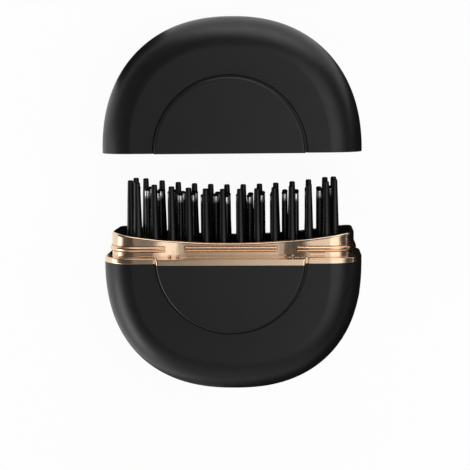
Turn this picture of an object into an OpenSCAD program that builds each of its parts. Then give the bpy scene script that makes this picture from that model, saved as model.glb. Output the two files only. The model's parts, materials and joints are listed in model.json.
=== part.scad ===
// A pocket hair straightening brush: a rounded puck in two halves. The body carries a rose gold
// collar and a field of cool bristles and heated teeth, and the cap pulls off along the same axis.
// Everything is drawn upright, with the parting plane at z = 0, the front towards -Y and the cap
// upwards. The module laid() then puts the brush on its back, with the cap pulled off along +Y.

/* [Casing] */
// Width across the rounded ends
width = 88; // [84:0.5:96]
// Thickness of both shells, without the raised discs
shell_depth = 37; // [35:0.5:42]
// Radius of the edge between the rim and the faces
edge_r = 11; // [9:0.5:13]
// Height of the body below the parting plane, with the collar's band
body_h = 46.4; // [46:0.2:56]
// Squareness of the body's outline, where 2 is an ellipse
body_square = 2.34; // [2.2:0.02:2.6]
// Wall of the body shell
body_wall = 2.2; // [1.8:0.1:2.8]
// Height of the cap
cap_h = 45.4; // [44:0.2:54]
// Squareness of the cap's outline
cap_square = 2.24; // [2.2:0.02:2.6]
// Wall of the cap shell
cap_wall = 1.6; // [1.5:0.1:2.2]
// Distance that the cap is pulled off
cap_lift = 35; // [30:0.5:60]

/* [Discs] */
// Diameter of the raised discs that cross the parting plane
disc_d = 50; // [40:1:54]
// Height of the discs above the shells
disc_proud = 3; // [1:0.2:4]
// Radius of the discs' outer edge
disc_edge_r = 0.8; // [0.4:0.1:1]
// Width of the groove round each disc
groove_w = 0.5; // [0.3:0.1:0.8]
// Depth of the seat that each disc panel is bonded in
seat_depth = 0.6; // [0.4:0.1:1]

/* [Collar] */
// Height of the gold band between the shells
band_h = 2; // [1.5:0.1:3]
// Height of the neck above the parting plane at its middle
rim_h = 4.8; // [4.4:0.1:6]
// Radius of the hollow curve of the comb face, seen from the front
comb_r = 235; // [200:5:400]
// Wall of the neck
neck_wall = 1.4; // [1.2:0.1:1.6]
// Gap between the snap ribs and the inside of the cap
cap_gap = 0.25; // [0.2:0.05:0.5]
// Height that the snap ribs stand proud of the neck
rib_proud = 0.8; // [0.4:0.1:0.9]
// Width of a snap rib up the neck
rib_w = 1.6; // [1:0.1:1.8]
// Height of the snap ribs' middle above the parting plane
rib_z = 2.8; // [2.6:0.1:3.2]
// Half length of the rib in the middle of each face
rib_half = 15.4; // [10:0.2:18]
// Distance from the middle to where the ribs at the ends start
rib_start = 22.5; // [20:0.5:26]
// Depth of the ledge that carries the comb
ledge_w = 2; // [1.6:0.1:2.4]
// Thickness of that ledge
ledge_t = 1.5; // [1.2:0.1:2]
// Depth of the skirt that plugs into the body shell
skirt_h = 4; // [3:0.5:5]
// Distance from the middle to each pad near the ends of the neck
pad_x = 26; // [24:0.5:28]
// Length of those pads
pad_l = 5.6; // [4:0.2:7]
// Height of those pads
pad_w = 1.4; // [1:0.1:1.6]
// Distance from the middle to each pair of small holes in the band's top
hole_x = 19.5; // [17:0.5:21]
// Diameter of those holes
hole_d = 1.2; // [0.8:0.1:1.4]

/* [Comb] */
// Depth of the comb face below the neck's rim
comb_drop = 0.3; // [0.2:0.1:1.4]
// Thickness of the comb plate
comb_t = 2.2; // [1.8:0.1:2.4]
// Wall round the comb's underside
comb_wall = 1.6; // [1.2:0.1:1.8]
// Spacing of the tall bristles along the front row and the back row
tall_pitch = 5.8; // [5.2:0.1:6.8]
// Distance of the tall rows from the middle of the comb
tall_row = 11.5; // [10.5:0.1:11.6]
// Height of the tall bristles above the neck's rim
tall_len = 18; // [14:0.5:18]
// Diameter at the foot of a tall bristle
tall_foot_d = 3.1; // [2.4:0.1:3.2]
// Diameter near the tip of a tall bristle
tall_tip_d = 2; // [1.6:0.1:2.1]
// Distance from the casing's end to the two tall bristles there
end_margin = 9.2; // [9.2:0.1:11]
// Half the spacing between those two
end_y = 7; // [5.5:0.1:7.5]

/* [Heater] */
// Spacing of the heated teeth along a row
tooth_pitch = 7.9; // [7.4:0.1:8]
// Spacing of the four rows of heated teeth
tooth_row = 4.6; // [4:0.1:4.7]
// Height that the teeth stop short of the tall bristles
tooth_short = 2.3; // [1.5:0.1:4]
// Diameter of a heated tooth
tooth_d = 2; // [1.7:0.1:2.2]
// Length of the moulded tip on a heated tooth
tip_len = 2.2; // [1.6:0.1:2.6]
// Gap round a heated tooth where it passes the comb
tooth_gap = 0.3; // [0.2:0.05:0.4]
// Thickness of the heater plate
plate_t = 2; // [1.6:0.1:2.2]
// Distance that the heater plate reaches past the tray that carries its ends
plate_seat = 2.5; // [2:0.1:3]
// Width of the heater plate
plate_w = 20; // [17:0.5:21]
// Length of the ceramic heater
ceramic_l = 48; // [40:1:50]
// Width of the ceramic heater
ceramic_w = 11; // [9:0.5:11.4]
// Thickness of the ceramic heater
ceramic_t = 2.2; // [1.8:0.1:2.4]
// Thickness of the steel clamp under the ceramic
clamp_t = 0.8; // [0.6:0.1:1]
// Gap between the steel clamp's ends and the tray
clamp_gap = 1.3; // [0.8:0.1:2]
// Width of the steel clamp
clamp_w = 18; // [17:0.5:19]
// Wall of the insulation tray
tray_t = 1.2; // [1:0.1:1.4]
// Length of the thermal fuse
fuse_l = 10; // [8:0.5:14]
// Diameter of the thermal fuse
fuse_d = 2; // [1.6:0.1:2.4]
// Diameter of the temperature sensor's bead
bead_d = 1.8; // [1.4:0.1:2]

/* [Battery and chassis] */
// Diameter of a battery cell
cell_d = 14.2; // [13:0.1:14.6]
// Length of a battery cell
cell_l = 50; // [40:0.5:52]
// Gap between a cell and what holds it
cell_gap = 0.2; // [0.1:0.05:0.3]
// Thickness of the chassis plate
chassis_t = 1.6; // [1.4:0.1:2]
// Wall round the cells
cradle_wall = 1.8; // [1.4:0.1:2]
// Length of the collar's screw bosses
boss_len = 7; // [6.8:0.1:8]
// Diameter of the collar's screw bosses
boss_d = 4.8; // [4.4:0.1:5]
// Diameter of the screws' threads
screw_d = 2; // [1.8:0.1:2.2]
// Diameter of the screws' heads
screw_head_d = 3.8; // [3.4:0.1:4]
// Thickness of the circuit boards
board_t = 1.2; // [1:0.1:1.6]
// Half width of the main board
board_half = 22; // [18:0.5:23]
// Height of the tallest component on the boards
component_h = 2.4; // [1.6:0.1:3]
// Width of the arm that carries the button's board
arm_w = 12; // [10:0.5:13]
// Thickness of that arm
arm_t = 8; // [6:0.5:9]
// Diameter of the leads
lead_d = 1.4; // [1:0.1:1.4]

/* [Button] */
// Distance of the button's middle below the parting plane
button_drop = 19; // [18:0.5:22]
// Diameter of the button
button_d = 8.8; // [8:0.1:9]
// Travel of the button
button_travel = 0.5; // [0.3:0.1:0.8]
// Gap between the button and the ring that guides it
button_gap = 0.2; // [0.15:0.05:0.3]
// Width of the lit ring round the button
ring_w = 0.6; // [0.5:0.05:0.8]
// Width of the gold bezel round the lit ring
bezel_w = 0.8; // [0.6:0.05:1]
// Height of the push switch behind the button, with its plunger
switch_h = 3.5; // [3:0.1:4.3]

/* [Charging socket] */
// Width of the socket's shell
socket_w = 9; // [8.8:0.1:9.2]
// Height of the socket's shell
socket_t = 3.2; // [3:0.1:3.4]
// Length of the socket's shell
socket_l = 7.4; // [6.5:0.1:8]
// Gap round the socket where it passes the body shell
socket_gap = 0.2; // [0.1:0.05:0.3]

/* [Hidden] */

// Steps round a dome's outline and across its rounded edge
outline_steps = 72;
edge_steps = 6;
$fn = 48;
overlap = 0.01;
fit_gap = 0.2;

half_w = width / 2;
half_shell = shell_depth / 2;
half_t = half_shell + disc_proud;
flat_side = half_shell - edge_r;
disc_r = disc_d / 2;
body_dome_h = body_h - band_h;
parting_y = body_h - (body_h + cap_h + cap_lift) / 2;

// Insets of the collar's and comb's outlines from the casing's
neck_inset = cap_wall + cap_gap + rib_proud;
neck_inner = neck_inset + neck_wall;
comb_inset = neck_inner + fit_gap;

// The hollow curve of the comb face and its centre
comb_z = rim_h + comb_r;
function arc_z(r, x) = comb_z - sqrt(r * r - x * x);
comb_face_r = comb_r + comb_drop;
comb_under_r = comb_face_r + comb_t;
comb_top = arc_z(comb_face_r, half_w);

// The stack under the comb, from the heater plate down
plate_top = arc_z(comb_under_r, 0) - 0.4;
plate_low = plate_top - plate_t;
ceramic_low = plate_low - ceramic_t;
clamp_low = ceramic_low - clamp_t;
boss = [half_w - edge_r + boss_d / 2, flat_side + boss_d / 2];
chassis_top = -band_h - boss_len;
chassis_low = chassis_top - chassis_t;
tray_half = [boss[0] - boss_d / 2 - 0.4, plate_w / 2 + 0.4 + tray_t];
plate_l = 2 * (tray_half[0] + plate_seat);
clamp_l = 2 * (tray_half[0] - tray_t - clamp_gap);
clamp_screw = [clamp_l / 2 - 2.6, clamp_w / 2 - 2.2];
comb_post = [plate_l / 2 - 1.6, plate_w / 2 - 1.6];
screw_pilot = screw_d / 2 - 0.1;
screw_head_t = 1.2;

// Places of the bristles and teeth, as [x, y]
end_x = half_w - end_margin;
tall_count = 2 * floor((end_x + tall_foot_d / 2) / tall_pitch);
tall_places = concat(
    [for (side = [-1, 1], i = [0 : tall_count - 1])
        [(i - (tall_count - 1) / 2) * tall_pitch, side * tall_row]],
    [for (side = [-1, 1], end = [-1, 1]) [end * end_x, side * end_y]]);
tooth_shift = tooth_pitch / 4;
last_tooth = floor((plate_l / 2 - tooth_shift - tooth_d / 2 - 0.3) / tooth_pitch);
tooth_places = concat(
    [for (i = [1 - last_tooth : last_tooth]) [i * tooth_pitch - tooth_shift, -1.5 * tooth_row]],
    [for (i = [-last_tooth : last_tooth]) [i * tooth_pitch + tooth_shift, -0.5 * tooth_row]],
    [for (i = [-last_tooth : last_tooth]) [i * tooth_pitch - tooth_shift, 0.5 * tooth_row]],
    [for (i = [-last_tooth : last_tooth - 1]) [i * tooth_pitch + tooth_shift, 1.5 * tooth_row]]);

// The cells lie side by side under the chassis plate
cell_hold_r = cell_d / 2 + cell_gap;
cell_y = cell_hold_r + 0.3;
cell_z = chassis_low - cradle_wall - cell_hold_r;
cradle_half = [cell_l / 2 + cell_gap + cradle_wall, cell_y + cell_hold_r + 0.4];
cover_low = cell_z - cell_hold_r - cradle_wall;

// The charging socket sits in the bottom of the dome, and the board reaches up from it
socket_low = -body_h + 0.3;
board_low = socket_low + socket_l - 2.5;
board_top = cover_low;
foot_x = board_half - 3;
foot_h = 4;

// The leads run down beside the cells to the board's top edge
lead_y = 3.6;
lead_x = foot_x - 3.4;
lead_z = board_top - 2;
beside_cells = cradle_half[0] + lead_d;

// The button's axis is square to the shell where it passes the right end
button_depth = button_drop - band_h;
button_x = half_w * pow(1 - pow(button_depth / body_dome_h, body_square), 1 / body_square);
button_tilt = atan2(pow(button_depth / body_dome_h, body_square - 1) / body_dome_h,
    pow(button_x / half_w, body_square - 1) / half_w);
ring_in = button_d / 2 + button_gap;
ring_out = ring_in + ring_w;
bezel_out = ring_out + bezel_w;
button_cap_t = 3;
button_foot = 1;
button_stem = 1.2;
switch_top = -(button_cap_t + button_foot + button_stem + button_travel + 0.1);
switch_low = switch_top - switch_h;
button_board_low = switch_low - board_t;

// Points on the outline of a dome, in degrees from its right end, and square out of it
function signed_pow(v, e) = sign(v) * pow(abs(v), e);
function outline(h, n, t) =
    [half_w * signed_pow(cos(t), 2 / n), h * pow(max(sin(t), 0), 2 / n)];
function square_out(h, n, p) =
    let (v = [signed_pow(p[0] / half_w, n - 1) / half_w, pow(p[1] / h, n - 1) / h]) v / norm(v);

// The rounded edge as [depth, inset], from the front face round the rim to the back face
function edge_profile(inset) = concat(
    [for (i = [edge_steps : -1 : 0]) let (a = 90 * i / edge_steps)
        [-flat_side - (edge_r - inset) * sin(a), inset + (edge_r - inset) * (1 - cos(a))]],
    [for (i = [0 : edge_steps]) let (a = 90 * i / edge_steps)
        [flat_side + (edge_r - inset) * sin(a), inset + (edge_r - inset) * (1 - cos(a))]]);
function dome_points(h, n, inset) =
    [for (i = [0 : outline_steps])
        let (p = outline(h, n, 180 * i / outline_steps), out = square_out(h, n, p))
        for (q = edge_profile(inset)) [p[0] - out[0] * q[1], q[0], p[1] - out[1] * q[1]]];

// A hollow dome that stands on its open mouth at z = 0
module dome_shell(h, n, wall) {
    across = 2 * (edge_steps + 1);
    inner = across * (outline_steps + 1);
    function at(i, j) = i * across + j;
    last = outline_steps;
    mouth = concat([for (j = [0 : across - 1]) at(0, j)],
        [for (j = [across - 1 : -1 : 0]) at(last, j)]);
    outer_faces = [for (i = [0 : last - 1], j = [0 : across - 2])
        [at(i, j), at(i + 1, j), at(i + 1, j + 1), at(i, j + 1)]];
    front_face = [for (i = [last : -1 : 0]) at(i, 0)];
    back_face = [for (i = [0 : last]) at(i, across - 1)];
    outside = concat(outer_faces, [front_face, back_face]);
    inside = [for (f = outside) [for (k = [len(f) - 1 : -1 : 0]) f[k] + inner]];
    lip = [for (k = [0 : len(mouth) - 1]) let (m = mouth[k], p = mouth[(k + 1) % len(mouth)])
        [m, p, p + inner, m + inner]];
    polyhedron(points = concat(dome_points(h, n, 0), dome_points(h, n, wall)),
        faces = concat(outside, inside, lip), convexity = 6);
}

// Puts the upright brush on its back
module laid() { translate([0, parting_y, half_t]) rotate([-90, 0, 0]) children(); }
module laid_cap() { laid() translate([0, 0, cap_lift]) children(); }
module both_faces() { children(); mirror([0, 1, 0]) children(); }
module both_ends() { children(); mirror([1, 0, 0]) children(); }
module at_corners(p) { for (x = [-1, 1], y = [-1, 1]) translate([x * p[0], y * p[1], 0]) children(); }

// The casing's plan, drawn in by an inset
module plan(inset) {
    w = width - 2 * inset;
    d = shell_depth - 2 * inset;
    r = edge_r - inset;
    square([w - 2 * r, d], center = true);
    square([w, d - 2 * r], center = true);
    at_corners([w / 2 - r, d / 2 - r]) circle(r);
}
module plan_slab(inset, low, high) {
    translate([0, 0, low]) linear_extrude(high - low) plan(inset);
}
module plan_ring(outer, inner, low, high) {
    difference() {
        plan_slab(outer, low, high);
        plan_slab(inner, low - 1, high + 1);
    }
}

// A raised disc on the front face, from its seat outwards
module front_disc() {
    steps = 5;
    edge = [for (i = [0 : steps]) let (a = 90 * i / steps)
        [disc_r - disc_edge_r * (1 - cos(a)), half_t - disc_edge_r * (1 - sin(a))]];
    rotate([90, 0, 0]) rotate_extrude($fn = 96)
        polygon(concat([[0, half_shell - seat_depth], [disc_r, half_shell - seat_depth]],
            edge, [[0, half_t]]));
}
module front_seat() {
    rotate([90, 0, 0]) translate([0, 0, half_shell - seat_depth])
        cylinder(h = disc_proud + seat_depth + 1, r = disc_r + groove_w, $fn = 96);
}
module slab(low, high) {
    translate([-width, -width, low]) cube([2 * width, 2 * width, high - low]);
}
module half_disc(low, high) {
    intersection() {
        front_disc();
        slab(low, high);
    }
}

// A round pin with a softened tip, standing on z = 0
module pin(foot_d, tip_d, len) {
    soft = tip_d * 0.3;
    rotate_extrude($fn = 24) polygon([[0, 0], [foot_d / 2, 0], [tip_d / 2, len - soft],
        [tip_d / 2 - soft * 0.3, len - soft * 0.3], [tip_d / 2 - soft, len], [0, len]]);
}
module screw(len) {
    cylinder(h = len, d = screw_d, $fn = 24);
    translate([0, 0, -screw_head_t]) difference() {
        cylinder(h = screw_head_t, d = screw_head_d, $fn = 24);
        for (a = [0, 90]) rotate(a) translate([-screw_head_d / 4, -0.25, -1])
            cube([screw_head_d / 2, 0.5, 1.6]);
    }
}
// A lead along a list of points, round at each bend
module lead(points) {
    for (i = [0 : len(points) - 2]) {
        a = points[i];
        run = points[i + 1] - a;
        translate(a) rotate([0, acos(run[2] / norm(run)), atan2(run[1], run[0])])
            cylinder(h = norm(run), d = lead_d, $fn = 16);
        if (i > 0) translate(a) sphere(d = lead_d, $fn = 16);
    }
}
module on_button_axis() {
    translate([button_x, 0, -button_drop]) rotate([0, 90 + button_tilt, 0]) children();
}
module tube(outer, inner, low, high) {
    translate([0, 0, low]) difference() {
        cylinder(h = high - low, r = outer);
        translate([0, 0, -1]) cylinder(h = high - low + 2, r = inner);
    }
}

module body_shell() {
    color([0.17, 0.17, 0.18]) laid() difference() {
        mirror([0, 0, 1]) translate([0, 0, band_h]) dome_shell(body_dome_h, body_square, body_wall);
        both_faces() front_seat();
        on_button_axis() translate([0, 0, -8]) cylinder(h = 12, r = bezel_out + fit_gap / 2);
        translate([0, 0, -body_h - 1]) socket_form(socket_gap, body_wall + 3);
    }
}

module body_front_panel() {
    color([0.16, 0.16, 0.17]) laid() half_disc(-disc_r - 1, -band_h);
}

module body_back_panel() {
    color([0.16, 0.16, 0.17]) laid() mirror([0, 1, 0]) half_disc(-disc_r - 1, -band_h);
}

// The gilt moulding: the band between the shells, the neck with its snap ribs, the ledge that
// carries the comb, the skirt that plugs into the body and four screw bosses
module collar() {
    rim_end = arc_z(comb_r, half_w - neck_inset) + 1;
    color([0.79, 0.59, 0.48]) laid() difference() {
        union() {
            difference() {
                union() {
                    plan_slab(0, -band_h, 0);
                    both_faces() half_disc(-band_h, 0);
                }
                both_faces() difference() {
                    front_seat();
                    front_disc();
                }
                plan_slab(neck_inner, -band_h - 1, 1);
            }
            difference() {
                union() {
                    plan_ring(neck_inset, neck_inner, -overlap, rim_end);
                    snap_ribs();
                }
                translate([0, 0, comb_z]) rotate([90, 0, 0])
                    cylinder(h = width, r = comb_r, center = true, $fn = 180);
            }
            plan_ring(body_wall + fit_gap, body_wall + fit_gap + 1.3, -band_h - skirt_h,
                -band_h + overlap);
            plan_ring(body_wall + fit_gap, neck_inner + ledge_w, -band_h - ledge_t, -band_h);
            at_corners(boss) translate([0, 0, -band_h - boss_len]) cylinder(h = boss_len, d = boss_d);
        }
        at_corners(boss) translate([0, 0, -band_h - boss_len - 1])
            cylinder(h = boss_len, r = screw_pilot, $fn = 24);
        both_faces() both_ends() for (x = [-1.1, 1.1])
            translate([hole_x + x * hole_d, -half_shell + hole_d / 2, -band_h / 2])
                cylinder(h = band_h, d = hole_d, $fn = 24);
    }
}
module snap_ribs() {
    low = rib_z - rib_w / 2;
    high = rib_z + rib_w / 2;
    difference() {
        plan_ring(neck_inset - rib_proud, neck_inset + 0.3, low, high);
        both_ends() translate([rib_half, -width, low - 1]) cube([rib_start - rib_half, 2 * width, rib_w + 2]);
    }
    both_faces() both_ends() translate([pad_x, -half_shell + neck_inset - rib_proud / 2, 0.3])
        cube([pad_l, rib_proud, pad_w]);
}

// The cool comb: a hollow-curved plate with its tall bristles, holes for the heated teeth and four
// posts that hold the heater plate down
module comb_frame() {
    color([0.09, 0.09, 0.10]) laid() difference() {
        union() {
            difference() {
                plan_slab(comb_inset, -band_h, comb_top);
                translate([0, 0, comb_z]) rotate([90, 0, 0])
                    cylinder(h = width, r = comb_face_r, center = true, $fn = 180);
                difference() {
                    plan_slab(comb_inset + comb_wall, -band_h - 1, comb_top);
                    translate([0, 0, comb_z]) rotate([90, 0, 0])
                        cylinder(h = width, r = comb_under_r, center = true, $fn = 180);
                }
            }
            at_corners(comb_post) translate([0, 0, plate_top])
                cylinder(h = arc_z(comb_under_r, comb_post[0]) + 1 - plate_top, d = 3);
            for (p = tall_places) {
                foot = arc_z(comb_face_r, p[0]) - comb_t / 2;
                translate([p[0], p[1], foot])
                    pin(tall_foot_d, tall_tip_d, arc_z(comb_r - tall_len, p[0]) - foot);
            }
        }
        for (p = tooth_places) translate([p[0], p[1], -band_h])
            cylinder(h = band_h + 12, r = tooth_d / 2 + tooth_gap, $fn = 24);
    }
}

function tooth_top(x) = arc_z(comb_r - tall_len + tooth_short, x);

// The heater plate and its teeth, each with a spigot that its tip is moulded round
module heater_plate() {
    color([0.13, 0.13, 0.14]) laid() difference() {
        union() {
            translate([-plate_l / 2, -plate_w / 2, plate_low]) cube([plate_l, plate_w, plate_t]);
            for (p = tooth_places) translate([p[0], p[1], plate_low + plate_t / 2]) {
                shaft = tooth_top(p[0]) - tip_len - plate_low - plate_t / 2;
                cylinder(h = shaft, r = tooth_d / 2, $fn = 24);
                cylinder(h = shaft + tip_len / 2, r = tooth_d / 4, $fn = 24);
            }
            at_corners(clamp_screw) translate([0, 0, ceramic_low])
                cylinder(h = ceramic_t + plate_t / 2, d = screw_d + 2);
        }
        at_corners(clamp_screw) translate([0, 0, ceramic_low - 1])
            cylinder(h = ceramic_t + plate_t, r = screw_pilot, $fn = 24);
    }
}

module tooth_tips() {
    color([0.05, 0.05, 0.05]) laid() for (p = tooth_places) {
        translate([p[0], p[1], tooth_top(p[0]) - tip_len]) difference() {
            union() {
                cylinder(h = tip_len - tooth_d / 2, r = tooth_d / 2, $fn = 24);
                translate([0, 0, tip_len - tooth_d / 2]) sphere(r = tooth_d / 2, $fn = 24);
            }
            translate([0, 0, -1]) cylinder(h = tip_len / 2 + 1, r = tooth_d / 4, $fn = 24);
        }
    }
}

module ceramic_heater() {
    color([0.90, 0.88, 0.82]) laid() translate([-ceramic_l / 2, -ceramic_w / 2, ceramic_low])
        cube([ceramic_l, ceramic_w, ceramic_t]);
}

module heater_clamp() {
    color([0.70, 0.70, 0.72]) laid() difference() {
        translate([-clamp_l / 2, -clamp_w / 2, clamp_low]) cube([clamp_l, clamp_w, clamp_t]);
        at_corners(clamp_screw) translate([0, 0, clamp_low - 1])
            cylinder(h = clamp_t + 2, d = screw_d, $fn = 24);
    }
}

module heater_screws() {
    color([0.62, 0.62, 0.64]) laid() at_corners(clamp_screw) translate([0, 0, clamp_low])
        screw(clamp_t + ceramic_t);
}

// A fuse with a wire at each end, under the clamp
module thermal_fuse() {
    color([0.80, 0.74, 0.60]) laid() translate([0, clamp_w / 7, clamp_low - fuse_d / 2])
        rotate([0, 90, 0]) {
            cylinder(h = fuse_l, d = fuse_d, center = true, $fn = 24);
            cylinder(h = 1.6 * fuse_l, d = 0.3 * fuse_d, center = true, $fn = 16);
        }
}

module temperature_sensor() {
    bead_x = ceramic_l / 2 + bead_d;
    color([0.20, 0.45, 0.30]) laid() translate([bead_x, 0, plate_low - bead_d / 2])
        rotate([0, 90, 0]) {
            sphere(d = bead_d, $fn = 24);
            for (y = [-1, 1]) translate([0, y * bead_d / 4.5, 0])
                cylinder(h = tray_half[0] - tray_t - fit_gap - bead_x, d = bead_d / 4.5, $fn = 16);
        }
}

// Keeps the heat off the cells: an open tray on the chassis plate, whose ends carry the heater
module insulation_tray() {
    tray_h = plate_low - chassis_top;
    color([0.86, 0.83, 0.74]) laid() difference() {
        translate([-tray_half[0], -tray_half[1], chassis_top])
            cube([2 * tray_half[0], 2 * tray_half[1], tray_h]);
        translate([tray_t - tray_half[0], tray_t - tray_half[1], chassis_top + tray_t])
            cube([2 * (tray_half[0] - tray_t), 2 * (tray_half[1] - tray_t), tray_h]);
        translate([-tray_half[0] - 1, -lead_y - lead_d, ceramic_low])
            cube([tray_t + 2, 2 * (lead_y + lead_d), tray_h]);
    }
}

// The chassis plate, which the collar's bosses are screwed to, with the upper half of the cell
// holder and an arm that carries the button's board
module battery_cradle() {
    color([0.24, 0.24, 0.25]) laid() difference() {
        union() {
            plan_slab(body_wall + 1.8, chassis_low, chassis_top);
            translate([-cradle_half[0], -cradle_half[1], cell_z])
                cube([2 * cradle_half[0], 2 * cradle_half[1], chassis_low - cell_z + overlap]);
            arm();
        }
        cells(cell_gap);
        at_corners(boss) translate([0, 0, chassis_low - 1])
            cylinder(h = chassis_t + 2, d = screw_d + 0.3, $fn = 24);
        both_ends() translate([tray_half[0] + 0.3, -5, chassis_low - 1])
            cube([2 * lead_d, 10, chassis_t + 2]);
        both_ends() translate([cell_l / 2 - 1, -cell_y - 1.5, cell_z - 1])
            cube([cradle_wall + 3, 2 * cell_y + 3, 2.5]);
    }
}
module arm() {
    intersection() {
        on_button_axis() translate([-arm_t / 2, -arm_w / 2, button_board_low - width / 4])
            cube([arm_t, arm_w, width / 4]);
        translate([cradle_half[0] - overlap, -width / 2, cell_z])
            cube([width, width, chassis_low - cell_z]);
    }
}
module cells(gap) {
    for (y = [-1, 1]) translate([-cell_l / 2 - gap, y * cell_y, cell_z]) rotate([0, 90, 0])
        cylinder(h = cell_l + 2 * gap, r = cell_d / 2 + gap);
}

module battery_cells() {
    color([0.15, 0.42, 0.60]) laid() {
        cells(0);
    }
}

// The lower half of the cell holder, with two slotted feet for the main board
module battery_cover() {
    color([0.24, 0.24, 0.25]) laid() difference() {
        union() {
            translate([-cradle_half[0], -cradle_half[1], cover_low])
                cube([2 * cradle_half[0], 2 * cradle_half[1], cell_z - cover_low]);
            both_ends() translate([foot_x, -board_t / 2 - cradle_wall, cover_low - foot_h])
                cube([foot_h + 1, board_t + 2 * cradle_wall, foot_h + overlap]);
        }
        cells(cell_gap);
        board_outline(fit_gap / 2);
        both_ends() translate([cell_l / 2 - 1, -cell_y - 1.5, cell_z - 1.5])
            cube([cradle_wall + 3, 2 * cell_y + 3, 2.5]);
    }
}

module chassis_screws() {
    color([0.62, 0.62, 0.64]) laid() at_corners(boss) translate([0, 0, chassis_low])
        screw(chassis_t + boss_len - 2);
}

// The board's outline narrows with the dome and is notched for the socket
module board_outline(gap) {
    translate([0, board_t / 2 + gap, 0]) rotate([90, 0, 0]) linear_extrude(board_t + 2 * gap)
        difference() {
            polygon([[-board_half, board_top], [board_half, board_top],
                [board_half, board_top - 5], [board_half * 0.55, board_low],
                [-board_half * 0.55, board_low], [-board_half, board_top - 5]]);
            translate([-socket_w / 2 - 0.1, board_low - 1])
                square([socket_w + 0.2, socket_low + socket_l - board_low + 1]);
        }
}
module main_board() {
    component_w = board_half / 4.4;
    component_l = 0.65 * (lead_z - socket_low - socket_l);
    row = lead_z - component_l;
    color([0.07, 0.30, 0.20]) laid() {
        board_outline(0);
        for (x = [-0.55, 0, 0.55]) translate([x * board_half - component_w / 2, board_t / 2, row])
            cube([component_w, component_h / 2, component_l]);
        translate([-1.8 * component_w, -board_t / 2 - component_h, row])
            cube([1.2 * component_w, component_h, component_l]);
        translate([0.8 * component_w, -board_t / 2 - component_h * 0.7, row])
            cube([1.6 * component_w, component_h * 0.7, component_l * 0.7]);
    }
}

// A stadium seen along Z, which the socket and the hole it fills share
module socket_form(gap, h) {
    r = socket_t / 2 + gap;
    straight = socket_w / 2 - socket_t / 2;
    translate([-straight, -r, 0]) cube([2 * straight, 2 * r, h]);
    for (x = [-straight, straight]) translate([x, 0, 0]) cylinder(h = h, r = r);
}
module usb_socket() {
    tongue_t = 0.7;
    color([0.72, 0.72, 0.74]) laid() translate([0, 0, socket_low]) {
        difference() {
            socket_form(0, socket_l);
            translate([0, 0, -1]) socket_form(-0.35, socket_l);
        }
        translate([-socket_w / 2 + 1.6, -tongue_t / 2, 1]) cube([socket_w - 3.2, tongue_t, socket_l - 1.5]);
    }
}

module button_board() {
    lamp = 1;
    color([0.07, 0.30, 0.20]) laid() on_button_axis() {
        translate([-arm_w / 2 + 1, -arm_w / 2, button_board_low]) cube([arm_w - 2, arm_w, board_t]);
        for (y = [-ring_in, ring_in]) translate([-lamp / 2, y - lamp / 2, switch_low - overlap])
            cube([lamp, lamp, lamp / 2]);
    }
}

module push_switch() {
    color([0.50, 0.50, 0.52]) laid() on_button_axis() {
        translate([-3, -3, switch_low]) cube([6, 6, switch_h - 1]);
        translate([0, 0, switch_top - 1 - overlap]) cylinder(h = 1 + overlap, r = 1.5);
    }
}

module button_bezel() {
    color([0.79, 0.59, 0.48]) laid() on_button_axis() {
        tube(bezel_out, ring_out, -button_cap_t - button_foot - 1, 0.15);
        tube(bezel_out + 1, ring_out, -body_wall - 2, -body_wall - 0.9);
    }
}

module light_ring() {
    color([0.92, 0.90, 0.84]) laid() on_button_axis() tube(ring_out, ring_in, -button_cap_t, 0.1);
}

// The button with the foot that keeps it in and the stem that meets the switch
module power_button() {
    color([0.12, 0.12, 0.13]) laid() on_button_axis() {
        translate([0, 0, -button_cap_t]) cylinder(h = button_cap_t, d = button_d);
        translate([0, 0, -button_cap_t - button_foot])
            cylinder(h = button_foot - 0.05, r = ring_out - button_gap);
        translate([0, 0, -button_cap_t - button_foot - button_stem])
            cylinder(h = button_foot + button_stem, r = 1.5);
    }
}

module heater_leads() {
    level = (plate_low + ceramic_low) / 2;
    out = tray_half[0] + 0.3 + lead_d;
    color([0.75, 0.18, 0.14]) laid() for (y = [-1, 1])
        lead([[-ceramic_l / 2, y * lead_y, level], [-out, y * lead_y, level],
            [-out, y * lead_y, cell_z], [-beside_cells, y * lead_y, cell_z],
            [-beside_cells, y * lead_y, lead_z], [-lead_x, y * lead_y, lead_z],
            [-lead_x, y * board_t / 2, lead_z]]);
}

module battery_leads() {
    color([0.12, 0.12, 0.12]) laid() for (y = [-1, 1])
        lead([[cell_l / 2, y * cell_y, cell_z], [beside_cells, y * cell_y, cell_z],
            [beside_cells, y * cell_y, lead_z], [lead_x, y * cell_y, lead_z],
            [lead_x, y * board_t / 2, lead_z]]);
}

module cap_shell() {
    color([0.17, 0.17, 0.18]) laid_cap() difference() {
        dome_shell(cap_h, cap_square, cap_wall);
        both_faces() front_seat();
    }
}

module cap_front_panel() {
    color([0.16, 0.16, 0.17]) laid_cap() half_disc(0, disc_r + 1);
}

module cap_back_panel() {
    color([0.16, 0.16, 0.17]) laid_cap() mirror([0, 1, 0]) half_disc(0, disc_r + 1);
}

body_shell();
body_front_panel();
body_back_panel();
collar();
comb_frame();
heater_plate();
tooth_tips();
ceramic_heater();
heater_clamp();
heater_screws();
thermal_fuse();
temperature_sensor();
insulation_tray();
battery_cradle();
battery_cells();
battery_cover();
chassis_screws();
main_board();
usb_socket();
button_board();
push_switch();
button_bezel();
light_ring();
power_button();
heater_leads();
battery_leads();
cap_shell();
cap_front_panel();
cap_back_panel();
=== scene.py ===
# %% [markdown]
# # A pocket hair straightening brush
# The brush is a thick rounded puck in two halves. The body carries a rose gold collar with a field
# of bristles and heated teeth, and the cap has been pulled straight off it. This lesson dresses the
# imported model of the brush, piece by piece, and lights it as a product photographer would.

import json
import math
from contextlib import contextmanager

import bmesh
import bpy
from mathutils import Matrix, Vector


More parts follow.
